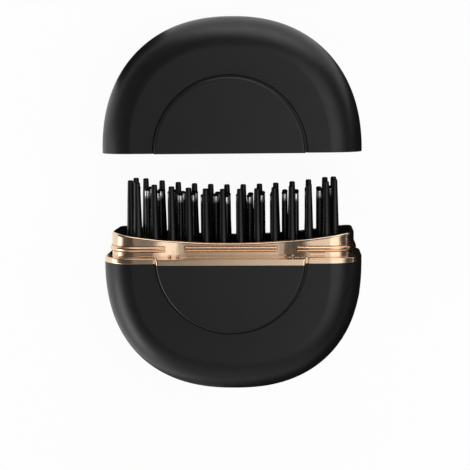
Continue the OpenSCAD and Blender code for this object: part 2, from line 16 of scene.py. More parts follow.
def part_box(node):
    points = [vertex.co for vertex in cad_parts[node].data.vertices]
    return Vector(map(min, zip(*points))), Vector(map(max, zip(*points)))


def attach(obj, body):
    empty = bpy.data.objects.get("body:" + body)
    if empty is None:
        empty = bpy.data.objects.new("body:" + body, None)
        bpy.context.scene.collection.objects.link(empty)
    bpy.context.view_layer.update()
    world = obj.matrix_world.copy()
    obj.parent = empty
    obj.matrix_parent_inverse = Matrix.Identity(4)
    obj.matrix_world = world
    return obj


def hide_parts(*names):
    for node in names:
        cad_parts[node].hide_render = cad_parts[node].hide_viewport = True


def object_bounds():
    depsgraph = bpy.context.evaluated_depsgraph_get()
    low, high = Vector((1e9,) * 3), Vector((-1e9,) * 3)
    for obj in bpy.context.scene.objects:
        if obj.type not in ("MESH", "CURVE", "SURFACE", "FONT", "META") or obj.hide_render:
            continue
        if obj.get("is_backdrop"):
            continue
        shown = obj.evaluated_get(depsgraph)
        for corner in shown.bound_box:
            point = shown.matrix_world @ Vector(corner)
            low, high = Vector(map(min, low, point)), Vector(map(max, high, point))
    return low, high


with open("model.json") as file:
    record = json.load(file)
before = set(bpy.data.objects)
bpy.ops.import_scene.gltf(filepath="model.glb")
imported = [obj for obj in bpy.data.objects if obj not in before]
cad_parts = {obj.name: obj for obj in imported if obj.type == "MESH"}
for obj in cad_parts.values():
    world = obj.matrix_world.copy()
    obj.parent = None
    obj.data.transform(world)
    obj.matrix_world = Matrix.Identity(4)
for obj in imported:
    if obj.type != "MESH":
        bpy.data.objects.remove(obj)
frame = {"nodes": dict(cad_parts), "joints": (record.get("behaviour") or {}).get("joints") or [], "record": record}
cad_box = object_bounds()
bpy.context.scene.view_settings.view_transform = "Standard"
print("CAD box in metres:", [[round(v, 4) for v in corner] for corner in cad_box])

# %% [markdown]
# ## One set of sizes
# The brush lies on its back, but it is easier to think of it upright, with the cap above the body
# and the front towards us. So every piece below is drawn upright in millimetres, with the parting
# plane between the halves at height 0, and laid down at the end. What the frame can tell is read
# from it, so that the looks follow the model if its size changes.

# %% Sizes from the frame
MM = 1000.0
shell_low, shell_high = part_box("body_shell")
cap_low, cap_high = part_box("cap_shell")
joints = {joint["name"]: joint for joint in frame["joints"]}

cap_lift = -joints["cap_slide"]["range_m"][0] * MM
parting = cap_low.y - cap_lift / MM
middle = (shell_low.z + shell_high.z) / 2
half_w = (shell_high.x - shell_low.x) / 2 * MM
half_shell = (shell_high.z - shell_low.z) / 2 * MM
half_t = (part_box("body_front_panel")[1].z - middle) * MM
body_h = (parting - shell_low.y) * MM
band_h = (parting - shell_high.y) * MM
cap_h = (cap_high.y - cap_low.y) * MM
disc_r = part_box("cap_front_panel")[1].x * MM
print(f"width {2 * half_w:.1f}, thickness {2 * half_t:.1f}, cap pulled off by {cap_lift:.1f} mm")

# %% Sizes of the mouldings
play = 0.2
edge_r = 11.0
flat_side = half_shell - edge_r
body_square, cap_square = 2.34, 2.24
body_wall, cap_wall, shell_soft = 2.2, 1.6, 0.18
disc_edge, groove_w = 0.8, 0.75
seat_floor, over_disc = half_shell - 0.9, half_t + 1
neck_inset, neck_wall = 2.65, 1.4
neck_inner = neck_inset + neck_wall
comb_inset = neck_inner + play
rim_h, comb_r = 4.8, 235.0
comb_z = rim_h + comb_r
comb_face_r = comb_r + 0.3
comb_under_r = comb_face_r + 2.2


def arc(radius, x):
    """Height at x of a curve about the comb's centre, which lies far above it."""
    return comb_z - math.sqrt(radius * radius - x * x)


# %% [markdown]
# ## Tools for making pieces
# A piece starts as plain lists of points and faces. It then gets bevels, because no moulded edge is
# truly sharp and the narrow highlight along it is what makes it look real. The modifiers are baked,
# the mesh is laid down in the frame, and the object stays at the origin.

# %% Meshes, bevels and baking
def mesh_object(name, points, faces=(), edges=()):
    mesh = bpy.data.meshes.new(name)
    mesh.from_pydata([tuple(p) for p in points], list(edges), list(faces))
    mesh.validate()
    piece = bpy.data.objects.new(name, mesh)
    bpy.context.scene.collection.objects.link(piece)
    return piece


@contextmanager
def edited(piece):
    """Opens a piece's mesh for edits and puts them back."""
    shape = bmesh.new()
    shape.from_mesh(piece.data)
    yield shape
    shape.to_mesh(piece.data)
    shape.free()


def weld(piece):
    """Merges doubled points and turns every face outwards."""
    with edited(piece) as shape:
        bmesh.ops.remove_doubles(shape, verts=shape.verts, dist=1e-5)
        bmesh.ops.recalc_face_normals(shape, faces=shape.faces)
    return piece


def adjust(thing, settings):
    for key, value in settings.items():
        setattr(thing, key, value)


def modify(piece, kind, **settings):
    change = piece.modifiers.new(kind.lower(), kind)
    adjust(change, settings)
    return change


def bake(piece):
    """Turns the evaluated piece into a plain mesh and clears its modifiers."""
    view = bpy.context.evaluated_depsgraph_get()
    view.update()
    mesh = bpy.data.meshes.new_from_object(piece.evaluated_get(view))
    piece.modifiers.clear()
    old, piece.data = piece.data, mesh
    bpy.data.meshes.remove(old)
    return piece


def carve(piece, cutters, operation="DIFFERENCE"):
    """Cuts the cutters out of a piece, or joins them to it as one solid, and removes them."""
    for cutter in cutters:
        modify(piece, "BOOLEAN", operation=operation, solver="EXACT", object=cutter)
    bake(piece)
    for cutter in cutters:
        bpy.data.objects.remove(cutter)
    return piece


def smooth(piece, angle=35):
    """Shades a piece smoothly, apart from its edges that are sharper than the angle."""
    for face in piece.data.polygons:
        face.use_smooth = True
    piece.data.set_sharp_from_angle(angle=math.radians(angle))
    modify(piece, "WEIGHTED_NORMAL", keep_sharp=True, weight=80)
    return bake(piece)


def soften(piece, width, segments=2, angle=40):
    """Rounds each edge that is sharper than the angle, and keeps the flats flat."""
    modify(piece, "BEVEL", width=width, segments=segments, limit_method="ANGLE",
           angle_limit=math.radians(angle), miter_outer="MITER_ARC")
    return smooth(bake(piece))


def join(name, pieces):
    """Makes several pieces one, with their materials."""
    joined = bmesh.new()
    materials = []
    for piece in pieces:
        part = piece.data
        materials += [m for m in part.materials if m and m not in materials]
        places = [materials.index(m) if m else 0 for m in part.materials] or [0]
        for face in part.polygons:
            face.material_index = places[min(face.material_index, len(places) - 1)]
        joined.from_mesh(part)
    for piece in pieces:
        bpy.data.objects.remove(piece)
    whole = mesh_object(name, [])
    joined.to_mesh(whole.data)
    joined.free()
    for material in materials:
        whole.data.materials.append(material)
    return whole


# %% [markdown]
# ## The camera
# The photograph was taken from about 0.42 m with a long lens, 7 degrees towards the cap and 3
# degrees towards the right of straight on. The camera aims at the middle of the parting plane, and
# a small shift puts that point where the photograph has it.

# %% Camera
PICTURE = 470
focal_px = 1203.0
distance = 0.42
pitch, yaw, roll = math.radians(7.0), math.radians(3.3), math.radians(0.6)
aim = Vector((0, parting, middle))
aim_px = Vector((233.9, 251.7))

back = Vector((math.sin(yaw) * math.cos(pitch), math.sin(pitch), math.cos(yaw) * math.cos(pitch)))
right = Vector((math.cos(yaw), 0, -math.sin(yaw)))
up = back.cross(right)
turned_right = right * math.cos(roll) - up * math.sin(roll)
turned_up = right * math.sin(roll) + up * math.cos(roll)

lens = bpy.data.cameras.new("camera")
lens.sensor_width = 36
lens.lens = focal_px / PICTURE * lens.sensor_width
lens.shift_x = (PICTURE / 2 - aim_px.x) / PICTURE
lens.shift_y = (aim_px.y - PICTURE / 2) / PICTURE
lens.clip_start = 0.01
camera = bpy.data.objects.new("camera", lens)
axes = Matrix((turned_right, turned_up, back)).transposed().to_4x4()
camera.matrix_world = Matrix.Translation(aim + back * distance) @ axes
bpy.context.scene.collection.objects.link(camera)
bpy.context.scene.camera = camera
print(f"lens {lens.lens:.1f} mm at {distance:.2f} m")

# %% [markdown]
# ## Floor and surroundings
# The brush lies on a pale floor, which the camera, metal and gloss see as plain white with its soft
# shadow. Black satin plastic and metal show little but what they mirror, so there are no lamps: the
# light comes from soft panels, and black cards and a dark room draw the dark edges.

# %% Node helpers
WHITE = (1, 1, 1, 1)


def feed(made, inputs):
    """Links other nodes' outputs to a node's inputs by name or number, or sets plain values there."""
    for key, value in inputs.items():
        if isinstance(value, bpy.types.NodeSocket):
            made.id_data.links.new(value, made.inputs[key])
        else:
            made.inputs[key].default_value = value


def node(tree, kind, inputs=None, output=0, **settings):
    """Adds a node, feeds it, and returns one of its outputs. The tree's own type starts its kind."""
    made = tree.nodes.new(kind if kind.startswith("ShaderNode") else tree.bl_idname[:-4] + kind)
    adjust(made, settings)
    feed(made, inputs or {})
    return made.outputs[output]


def maths(tree, operation, *values):
    return node(tree, "ShaderNodeMath", dict(enumerate(values)), operation=operation)


def new_material(name, inputs=None):
    """A Principled material with plain values on the shader's own sockets."""
    material = bpy.data.materials.new(name)
    material.use_nodes = True
    shader = material.node_tree.nodes["Principled BSDF"]
    feed(shader, inputs or {})
    return material, material.node_tree, shader


def show_mixed(tree, end, share, one, other):
    """Ends a material or a world in a mix of two shaders, by the share of the other one."""
    mixed = node(tree, "MixShader", {"Fac": share, 1: one, 2: other})
    feed(tree.nodes[end], {"Surface": mixed})


def sheet(name, corners, height, material):
    """A flat piece of the studio, which isn't part of the brush."""
    piece = mesh_object(name, [(x, y, height) for x, y in corners], [range(len(corners))])
    piece.data.materials.append(material)
    piece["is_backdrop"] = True
    return piece


# %% Floor
glow_strength, glow_share = 1.05, 0.90
floor_white, tree, shader = new_material("floor_white", {"Base Color": (0.8, 0.8, 0.8, 1), "Roughness": 0.9})
glow = node(tree, "Emission", {"Color": WHITE, "Strength": glow_strength})
rays = tree.nodes.new("ShaderNodeLightPath").outputs
mirrored = maths(tree, "MAXIMUM", rays["Is Glossy Ray"], rays["Is Transmission Ray"])
seen = maths(tree, "MAXIMUM", rays["Is Camera Ray"], mirrored)
show_mixed(tree, "Material Output", maths(tree, "MULTIPLY", seen, glow_share), shader.outputs["BSDF"], glow)
sheet("floor", [(-3, -3), (3, -3), (3, 3), (-3, 3)], 0, floor_white)

# %% [markdown]
# A photographer draws a dark edge on a black product with black cards that stay out of the picture.
# Here one lies under the brush and reaches out to the right, a small one lies beyond the cap's left
# shoulder, and a grey one lies in front. Only reflections meet them: the camera and the light pass
# through them to the white floor.

# %% Cards
def lay_card(name, shade, corners, height=0.0002):
    colour = {"Base Color": (shade, shade, shade, 1), "Roughness": 0.9, "Specular IOR Level": 0.1}
    card = sheet(name, corners, height, new_material(name, colour)[0])
    card.visible_camera = card.visible_diffuse = card.visible_shadow = False


left, top, bottom, far = cad_box[0].x - 0.004, cad_box[1].y + 0.002, cad_box[0].y - 0.014, 0.6
under = [(left, bottom), (-0.01, bottom), (0.06, -far), (far, -far), (far, top), (left, top)]
lay_card("card_under_brush", 0.01, under)
lay_card("card_by_shoulder", 0.01, [(-0.047, 0.046), (-0.026, top), (-0.13, 0.24), (-0.30, 0.13)])
lay_card("card_in_front", 0.35, [(left, -far), (0.06, -far), (-0.01, bottom), (left, bottom)])

# %% [markdown]
# The studio is a dark room with soft white panels, painted in the world by direction. The one
# overhead, a little to the right, lights the flat faces. A low one behind the cap and a low one at
# the left draw light edges round the black halves. The right side stays dark and draws a dark edge.
# The camera itself sees plain white, so the panels and the dark between them never show.

# %% World with panels
world = bpy.data.worlds.new("studio")
bpy.context.scene.world = world
world.use_nodes = True
tree = world.node_tree
ray = node(tree, "TexCoord", output="Generated")


def panel(azimuth, height, inner, outer, strength):
    """A round patch of light, full inside the inner angle and gone outside the outer one."""
    turn, rise = math.radians(azimuth), math.radians(height)
    towards = (math.cos(rise) * math.cos(turn), math.cos(rise) * math.sin(turn), math.sin(rise))
    facing = node(tree, "VectorMath", {0: ray, 1: towards}, "Value", operation="DOT_PRODUCT")
    patch = {"Value": facing, "From Min": math.cos(math.radians(outer)),
             "From Max": math.cos(math.radians(inner)), "To Max": strength}
    return node(tree, "MapRange", patch, interpolation_type="SMOOTHSTEP")


light = 0.07
overhead = (0, 64, 16, 36, 1.3)
behind_cap = (80, 0, 12, 46, 2.4)
at_left = (208, 0, 6, 34, 4.0)
in_front = (265, 10, 20, 60, 0.4)
for angles in (overhead, behind_cap, at_left, in_front):
    light = maths(tree, "ADD", panel(*angles), light)
studio = tree.nodes["Background"]
feed(studio, {"Color": WHITE, "Strength": light})
by_camera = node(tree, "LightPath", output="Is Camera Ray")
white = node(tree, "Background", {"Color": WHITE})
show_mixed(tree, "World Output", by_camera, studio.outputs[0], white)

# %% [markdown]
# ## Finishes
# The shells have a soft-touch coating: black, with a low broad sheen and a grain so fine that it
# only breaks up the highlights. The gold is a metal layer under clear lacquer, so it is one metal
# colour whose roughness drifts a little, and not a painted yellow.

# %% Parts of a finish
noise_low, noise_high = 0.3, 0.7


def noise(tree, scale, detail):
    """Noise in the piece's own coordinates."""
    place = node(tree, "TexCoord", output="Object")
    return node(tree, "TexNoise", {"Vector": place, "Scale": scale, "Detail": detail}, "Fac")


def grain(tree, scale, strength, distance):
    """A bump from fine noise."""
    fine = noise(tree, scale, 4)
    return node(tree, "Bump", {"Strength": strength, "Distance": distance, "Height": fine})


def drift(tree, scale, low, high):
    """A value that drifts slowly over the piece between low and high."""
    spread = {"Value": noise(tree, scale, 5), "From Min": noise_low, "From Max": noise_high}
    return node(tree, "MapRange", {**spread, "To Min": low, "To Max": high})


def mixed_colour(tree, factor, one, other):
    return node(tree, "Mix", {"Factor": factor, "A": one, "B": other}, "Result", data_type="RGBA")


def tinted(tree, scale, one, other):
    """A colour that drifts between two near shades."""
    return mixed_colour(tree, drift(tree, scale, 0, 1), (*one, 1), (*other, 1))


def moulded(name, one, other, rough, specular=0.5, metal=0.0, clear=0.0, grain_size=2500,
            depth=0.000012, strength=0.25, patch=90, wear=220):
    """Moulded plastic: two near shades, a drifting roughness and a fine grain."""
    material, tree, shader = new_material(name)
    feed(shader, {"Base Color": tinted(tree, patch, one, other), "Roughness": drift(tree, wear, *rough),
                  "Normal": grain(tree, grain_size, strength, depth), "Specular IOR Level": specular,
                  "Metallic": metal, "Transmission Weight": clear})
    return material


def metallic(name, one, other, rough):
    """The same for metal, on a finer scale."""
    return moulded(name, one, other, rough, metal=1.0, grain_size=5200, depth=0.000006, strength=0.12,
                   patch=140, wear=400)


def tooth_coating_with_painted_fade():
    """Black coating that gives way to bare metal as the attribute on the tooth's points rises; the gradual ramp
    between them is painted shade down the neck.
    """
    material, tree, shader = new_material("coated_aluminium")
    bare_with_painted_fade = node(tree, "Attribute", output="Fac", attribute_name="bare_with_painted_fade")
    coating = tinted(tree, 90, (0.004, 0.004, 0.004), (0.006, 0.006, 0.006))
    # painted shade: colour and metalness ramp from the bare neck into the black coating, standing for the
    # bristles' shade
    feed(shader, {"Base Color": mixed_colour(tree, bare_with_painted_fade, coating, (0.95, 0.95, 0.94, 1)),
                  "Metallic": bare_with_painted_fade, "Roughness": drift(tree, 400, 0.24, 0.32)})
    return material


# %% Finishes that show
finishes = {
    "soft_black": moulded("soft_touch_black", (0.008, 0.008, 0.0084), (0.01, 0.01, 0.0104),
                          (0.34, 0.4), 0.42),
    "panel_black": moulded("panel_black", (0.0085, 0.0085, 0.0089), (0.0105, 0.0105, 0.0109),
                           (0.32, 0.37), 0.42),
    "comb_black": moulded("comb_nylon", (0.004, 0.004, 0.0042), (0.006, 0.0058, 0.006), (0.26, 0.34), 0.38),
    "tip_black": moulded("tooth_tip_rubber", (0.003, 0.003, 0.003), (0.005, 0.005, 0.005), (0.28, 0.36), 0.3),
    "button_black": moulded("button_black", (0.0095, 0.0095, 0.01), (0.012, 0.012, 0.0125), (0.3, 0.36), 0.4),
    "diffuser": moulded("frosted_diffuser", (0.8, 0.79, 0.74), (0.85, 0.84, 0.79), (0.34, 0.42), clear=0.3),
    "rose_gold": metallic("rose_gold", (0.86, 0.62, 0.43), (0.90, 0.66, 0.47), (0.16, 0.22)),
    "contact_gold": metallic("contact_gold", (0.88, 0.64, 0.28), (0.92, 0.68, 0.32), (0.15, 0.22)),
    "screw_steel": metallic("bright_steel", (0.60, 0.60, 0.62), (0.68, 0.68, 0.70), (0.22, 0.35)),
    "coated_aluminium": tooth_coating_with_painted_fade(),
}
finishes["socket_steel"] = finishes["screw_steel"]

# %% Finishes of the pieces inside
finishes |= {
    "ceramic": moulded("white_ceramic", (0.76, 0.75, 0.70), (0.82, 0.81, 0.76), (0.24, 0.34)),
    "spring_steel": metallic("clamp_steel", (0.50, 0.50, 0.52), (0.58, 0.58, 0.60), (0.30, 0.44)),
    "fuse_cream": moulded("fuse_resin", (0.72, 0.62, 0.42), (0.80, 0.70, 0.50), (0.20, 0.30)),
    "sensor_glass": moulded("sensor_epoxy", (0.10, 0.26, 0.17), (0.15, 0.34, 0.22), (0.12, 0.20)),
    "mica": moulded("pressed_mica", (0.60, 0.54, 0.42), (0.78, 0.73, 0.62), (0.30, 0.55),
                    grain_size=900, depth=0.00003),
    "chassis_grey": moulded("chassis_grey", (0.05, 0.05, 0.055), (0.065, 0.065, 0.07), (0.45, 0.6)),
    "cell_wrap": moulded("cell_sleeve", (0.03, 0.15, 0.36), (0.05, 0.19, 0.42), (0.18, 0.28)),
    "board_green": moulded("solder_mask", (0.01, 0.09, 0.05), (0.02, 0.13, 0.07), (0.25, 0.40),
                           grain_size=700, depth=0.00003),
    "switch_grey": moulded("switch_body", (0.24, 0.24, 0.26), (0.30, 0.30, 0.32), (0.35, 0.45)),
    "lead_red": moulded("red_silicone", (0.42, 0.04, 0.03), (0.50, 0.06, 0.04), (0.50, 0.60)),
    "lead_black": moulded("black_silicone", (0.016, 0.016, 0.016), (0.024, 0.024, 0.024), (0.5, 0.6)),
}
print("finishes:", ", ".join(finishes))

# %% [markdown]
# Laying a piece down turns it by a quarter turn, so that what was up points along +Y and the front
# looks up at the camera. Cap pieces are moved by the distance that the cap is pulled off. A piece
# that has no material yet gets the finish that its slot in the model is named for.

# %% Lay a piece down
LAY_DOWN = Matrix(((1, 0, 0, 0), (0, 0, 1, 0), (0, -1, 0, 0), (0, 0, 0, 1)))


def fit(piece, body, slot, *nodes):
    """Puts a finished piece into the frame, on its body, in place of its CAD nodes."""
    lift = cap_lift if body == "cap" else 0.0
    place = Matrix.Translation((0, parting + lift / MM, middle)) @ LAY_DOWN @ Matrix.Scale(1 / MM, 4)
    piece.data.transform(place)
    if not piece.data.materials:
        piece.data.materials.append(finishes[slot])
    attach(piece, body)
    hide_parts(*nodes)
    print(f"{piece.name}: {len(piece.data.polygons)} faces")


# %% [markdown]
# ## The shells
# Each half is half of a thick puck: a squarish arch seen from the front, with one round edge swept
# along it. How square the arch is takes one number, which is 2 for an ellipse and higher for fuller
# corners. The arch gives a point and the direction square out of it, and the edge gives how deep
# and how far in to go from there. The inside is the same form drawn in by the wall.

# %% Dome
def turns(steps=6):
    """Angles of a quarter turn, from 0 up."""
    return [math.pi / 2 * i / steps for i in range(steps + 1)]


def edge_profile(inset, steps):
    """Depth and inset from the front face, round the edge, to the back face."""
    r = edge_r - inset
    front = [(-flat_side - r * math.sin(a), inset + r * (1 - math.cos(a))) for a in reversed(turns(steps))]
    return front + [(-depth, inward) for depth, inward in reversed(front)]


def arch(height, square, steps):
    """Points of the arch with the direction square out of each, from the right end to the left."""
    line = []
    for i in range(steps + 1):
        a = math.pi * i / steps
        c, s = math.cos(a), max(math.sin(a), 0)
        x = half_w * math.copysign(abs(c) ** (2 / square), c)
        z = height * s ** (2 / square)
        slope_x = math.copysign((abs(x) / half_w) ** (square - 1) / half_w, x)
        slope_z = (z / height) ** (square - 1) / height
        line.append((Vector((x, 0, z)), Vector((slope_x, 0, slope_z)).normalized()))
    return line


def dome(name, height, square, wall, steps=180, round_steps=14):
    """A hollow half puck that stands on its open mouth."""
    points, faces = [], []
    for inset in (0, wall):
        for at, out in arch(height, square, steps):
            for depth, inward in edge_profile(inset, round_steps):
                points.append(at - out * inward + Vector((0, depth, 0)))
    across = 2 * (round_steps + 1)
    layer = across * (steps + 1)
    for base in (0, layer):
        for i in range(steps):
            for j in range(across - 1):
                a = base + i * across + j
                faces.append((a, a + across, a + across + 1, a + 1))
        for side in (0, across - 1):
            faces.append([base + i * across + side for i in range(steps + 1)])
    mouth = list(range(across)) + [steps * across + j for j in reversed(range(across))]
    for a, b in zip(mouth, mouth[1:] + mouth[:1]):
        faces.append((a, b, b + layer, a + layer))
    return weld(mesh_object(name, points, faces))


# %% [markdown]
# Round pieces are turned on a lathe: a list of radius and height pairs is spun about an axis.

# %% Lathe
BACK, FRONT = LAY_DOWN, LAY_DOWN.transposed()


def moved(x, y):
    return Matrix.Translation((x, y, 0))


def lathe(name, profile, steps=48, place=None):
    points, faces = [], []
    for i in range(steps):
        a = 2 * math.pi * i / steps
        points += [(r * math.cos(a), r * math.sin(a), z) for r, z in profile]
    n = len(profile)
    for i in range(steps):
        for j in range(n):
            here, there = i * n, (i + 1) % steps * n
            faces.append((here + j, there + j, there + (j + 1) % n, here + (j + 1) % n))
    piece = mesh_object(name, points, faces)
    if place:
        piece.data.transform(place)
    return weld(piece)


def rod(name, radius, low, high, steps, place):
    return lathe(name, [(0, low), (radius, low), (radius, high), (0, high)], steps, place)


def quarter(centre_r, centre_z, radius, start, steps=5, way=1):
    """Quarter circle of a lathe profile, anticlockwise from an angle in degrees, or back if way is -1."""
    angles = [math.radians(start + 90 * i / steps) for i in range(steps + 1)]
    return [(centre_r + radius * math.cos(a), centre_z + radius * math.sin(a)) for a in angles][::way]


# %% [markdown]
# The seat of each raised disc is a shallow round pocket that leaves a fine groove round the disc.
# The body also has the button's opening in its right end and the charging socket's in its bottom.

# %% Where the button and the socket are
button_r, ring_middle = 4.4, 1.45
ring_in, ring_out = button_r + play, button_r + 0.8
bezel_out = ring_out + 0.8
socket_w, socket_t, socket_gap = 9.0, 3.2, 0.4

ring_at = sum(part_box("light_ring"), Vector()) / 2
ring_at = Vector((ring_at.x, middle - ring_at.z, ring_at.y - parting)) * MM
press = joints["power_button_press"]["axis"]
button_out = -Vector((press[0], -press[2], press[1])).normalized()
facing_out = button_out.to_track_quat("Z", "Y").to_matrix().to_4x4()
ON_BUTTON = Matrix.Translation(ring_at + button_out * ring_middle) @ facing_out
print("button's face at", [round(v, 1) for v in ON_BUTTON.translation], "mm")


# %% Body and cap shells
def seat_cutters():
    return [rod("seat", disc_r + groove_w, seat_floor, over_disc, 192, way) for way in (FRONT, BACK)]


def stadium(name, width, depth, low, high, steps=16):
    """A slot form that stands along Z, with round ends."""
    r = depth / 2
    line = [(side * (width / 2 - r) + r * math.cos(math.radians(start + 180 * i / steps)),
             r * math.sin(math.radians(start + 180 * i / steps)))
            for side, start in ((1, -90), (-1, 90)) for i in range(steps + 1)]
    n = len(line)
    points = [(x, y, z) for z in (low, high) for x, y in line]
    faces = [(i, (i + 1) % n, (i + 1) % n + n, i + n) for i in range(n)]
    return weld(mesh_object(name, points, faces + [list(range(n)), list(range(n, 2 * n))]))


body_shell = dome("body_shell_look", body_h - band_h, body_square, body_wall)
body_shell.data.transform(Matrix.Translation((0, 0, -band_h)) @ Matrix.Diagonal((1, 1, -1, 1)))
weld(body_shell)
opening = rod("opening", bezel_out + 0.1, -8, 4, 64, ON_BUTTON)
slot = stadium("slot", socket_w + socket_gap, socket_t + socket_gap, -body_h - 1, -body_h + 4)
carve(body_shell, seat_cutters() + [opening, slot])
fit(soften(body_shell, shell_soft), "body", "soft_black", "body_shell")

cap_shell = carve(dome("cap_shell_look", cap_h, cap_square, cap_wall), seat_cutters())
fit(soften(cap_shell, shell_soft), "cap", "soft_black", "cap_shell")

# %% [markdown]
# ## The raised discs
# One round disc crosses the parting plane on each face. It is turned whole and then cut by planes:
# the cap takes what lies above the parting plane, the gold band a slice of it, the body the rest.

# %% Disc panels
def keep_between(piece, low, high):
    with edited(piece) as shape:
        for height, side in ((low, -1), (high, 1)):
            everything = shape.verts[:] + shape.edges[:] + shape.faces[:]
            cut = bmesh.ops.bisect_plane(shape, geom=everything, dist=1e-4, plane_co=(0, 0, height),
                                         plane_no=(0, 0, side), clear_outer=True)
            edges = [e for e in cut["geom_cut"] if isinstance(e, bmesh.types.BMEdge)]
            if edges:
                bmesh.ops.edgeloop_fill(shape, edges=edges)
        bmesh.ops.recalc_face_normals(shape, faces=shape.faces)
    return piece


def disc_part(name, low, high, way):
    """What lies between two heights of the disc on the front or the back."""
    edge = quarter(disc_r - disc_edge, half_t - disc_edge, disc_edge, 0, 6)
    profile = [(0, seat_floor), (disc_r, seat_floor)] + edge + [(0, half_t)]
    return keep_between(lathe(name, profile, 180, way), low, high)


for face, way in (("front", FRONT), ("back", BACK)):
    for half, low, high in (("body", -disc_r - 1, -band_h), ("cap", 0, disc_r + 1)):
        disc = disc_part(f"{half}_{face}_panel_look", low, high, way)
        fit(soften(disc, 0.12), half, "panel_black", f"{half}_{face}_panel")

# %% [markdown]
# ## The collar
# The collar is one ring with the same section all the way round: the band between the shells, the
# neck, the ledge for the comb and the skirt inside the body. Only two things change: the neck's rim
# follows the comb's hollow curve, and the neck is drawn in a little in the middle of each face. So
# both are worked out from how far along the brush a point is. The band's top stays a hair's breadth
# below the parting plane, because the closed cap rests on it and two faces in one plane flicker.

# %% Ring along the casing's plan
band_top = -0.05
hollow_depth, hollow_from, hollow_to = 0.8, 16.5, 26.5


def plan_path(run=60, corner=16, end=8):
    """The casing's plan anticlockwise, as points with the direction square out of each."""
    cx, cy = half_w - edge_r, flat_side
    path = []
    for sx, sy, start, along in ((1, 1, 0, run), (-1, 1, 90, end), (-1, -1, 180, run), (1, -1, 270, end)):
        for i in range(corner + 1):
            a = math.radians(start + 90 * i / corner)
            out = Vector((math.cos(a), math.sin(a), 0))
            path.append((Vector((sx * cx, sy * cy, 0)) + out * edge_r, out))
        a = math.radians(start + 90)
        out = Vector((round(math.cos(a)), round(math.sin(a)), 0))
        length = 2 * (cx if along == run else cy)
        for i in range(1, along):
            path.append((path[-i][0] + Vector((-out.y, out.x, 0)) * length * i / along, out))
    return path


def rim(lower=0.0, radius=comb_r):
    """A height that follows the comb's hollow curve."""
    return lambda x: arc(radius, x) - lower


def hollow(x, out):
    """How far the neck is drawn in on its front and back: fully in the middle, not at all at the ends."""
    share = max(0.0, min(1.0, (hollow_to - abs(x)) / (hollow_to - hollow_from)))
    return hollow_depth * share * share * (3 - 2 * share) * abs(out.y)


def ring(name, path, section, closed=True):
    """Sweeps a section of (inset, height) along the plan. A third value is the share of the hollow."""
    points = []
    for inset, height, *share in section:
        for at, out in path:
            p = at - out * (inset + sum(share) * hollow(at.x, out))
            points.append((p.x, p.y, height(p.x) if callable(height) else height))
    n, m = len(path), len(section)
    faces = [(s * n + k, s * n + (k + 1) % n, (s + 1) % m * n + (k + 1) % n, (s + 1) % m * n + k)
             for s in range(m if closed else m - 1) for k in range(n)]
    return mesh_object(name, points, faces)


# %% Section of the collar
def bend(r, steps=6):
    """A rounded edge, as two distances from the corner that it takes off."""
    return [(r * (1 - math.cos(a)), r * (1 - math.sin(a))) for a in turns(steps)]


def band_edge(height, way, r):
    """The band's rounded outer edge, above its lowest height or below its highest one."""
    return [(u, height + way * v) for v, u in bend(r, 4)][::-way]


skirt_out, skirt_in, ledge_in = body_wall + play, body_wall + 1.5, neck_inner + 2
skirt_low, ledge_low = -band_h - 4, -band_h - 1.5
section = band_edge(-band_h, 1, 0.3)
section += [(skirt_out, -band_h), (skirt_out, skirt_low), (skirt_in, skirt_low), (skirt_in, ledge_low),
            (ledge_in, ledge_low), (ledge_in, -band_h), (neck_inner, -band_h)]
section += [(neck_inner - u, rim(v)) for u, v in bend(0.3, 3)]
section += [(neck_inset + u, rim(v), 1) for u, v in bend(0.85)[::-1]]
section += [(neck_inset - u, band_top + v, 1) for u, v in bend(0.15)]
section += band_edge(band_top, -1, 0.35)
path = plan_path()
collar = weld(ring("collar_look", path, section))
print("collar ring:", len(collar.data.polygons), "faces")

# %% [markdown]
# The band carries a slice of each raised disc, the groove beside it, and two small blind holes in
# its top at each side, with a small notch in the neck's foot behind each.

# %% Disc slices, grooves and small holes
pair_x, pair_half, hole_r, notch_r, notch_top = 19.5, 1.32, 0.6, 0.5, 0.8
hole_x = [side * pair_x + off for side in (-1, 1) for off in (-pair_half, pair_half)]
hole_y = half_shell - hole_r
groove_out = disc_r + groove_w
profile = [(disc_r, seat_floor), (groove_out, seat_floor), (groove_out, over_disc), (disc_r, over_disc)]
cuts = [lathe("groove", profile, 180, way) for way in (FRONT, BACK)]
cuts += [rod("hole", hole_r, -1, 1, 24, moved(x, y)) for x in hole_x for y in (-hole_y, hole_y)]
for x in hole_x:
    wall_y = half_shell - neck_inset - hollow(x, Vector((0, 1, 0))) + 0.1
    cuts += [rod("notch", notch_r, -1, notch_top, 20, moved(x, y)) for y in (-wall_y, wall_y)]
carve(collar, [disc_part("slice", -band_h, band_top, way) for way in (FRONT, BACK)], "UNION")
carve(collar, cuts)
soften(collar, 0.14)

# %% [markdown]
# ## Ribs along the neck
# The snap ribs that hold the cap follow the neck. A Geometry Nodes tree turns each line of points
# into a bead: it narrows the line's radius to nothing over the last bit, so the ends come out round.
# A wider and flatter bead is cut out of the neck first, which leaves a fine crease round each rib.

# %% Helpers for Geometry Nodes trees
def new_tree(name, **inputs):
    """A tree with named inputs, and the sockets that give them."""
    tree = bpy.data.node_groups.new(name, "GeometryNodeTree")
    tree.is_modifier = True
    for key, kind in {"Geometry": "Geometry", **inputs, "Material": "Material"}.items():
        tree.interface.new_socket(key.replace("_", " "), in_out="INPUT", socket_type="NodeSocket" + kind)
    tree.interface.new_socket("Geometry", in_out="OUTPUT", socket_type="NodeSocketGeometry")
    return tree, tree.nodes.new("NodeGroupInput").outputs


def end_tree(tree, given, geometry):
    """Every tree ends by making its instances real and giving them their material."""
    real = node(tree, "RealizeInstances", {"Geometry": geometry})
    paint = node(tree, "SetMaterial", {"Geometry": real, "Material": given["Material"]})
    feed(tree.nodes.new("NodeGroupOutput"), {0: paint})
    return tree


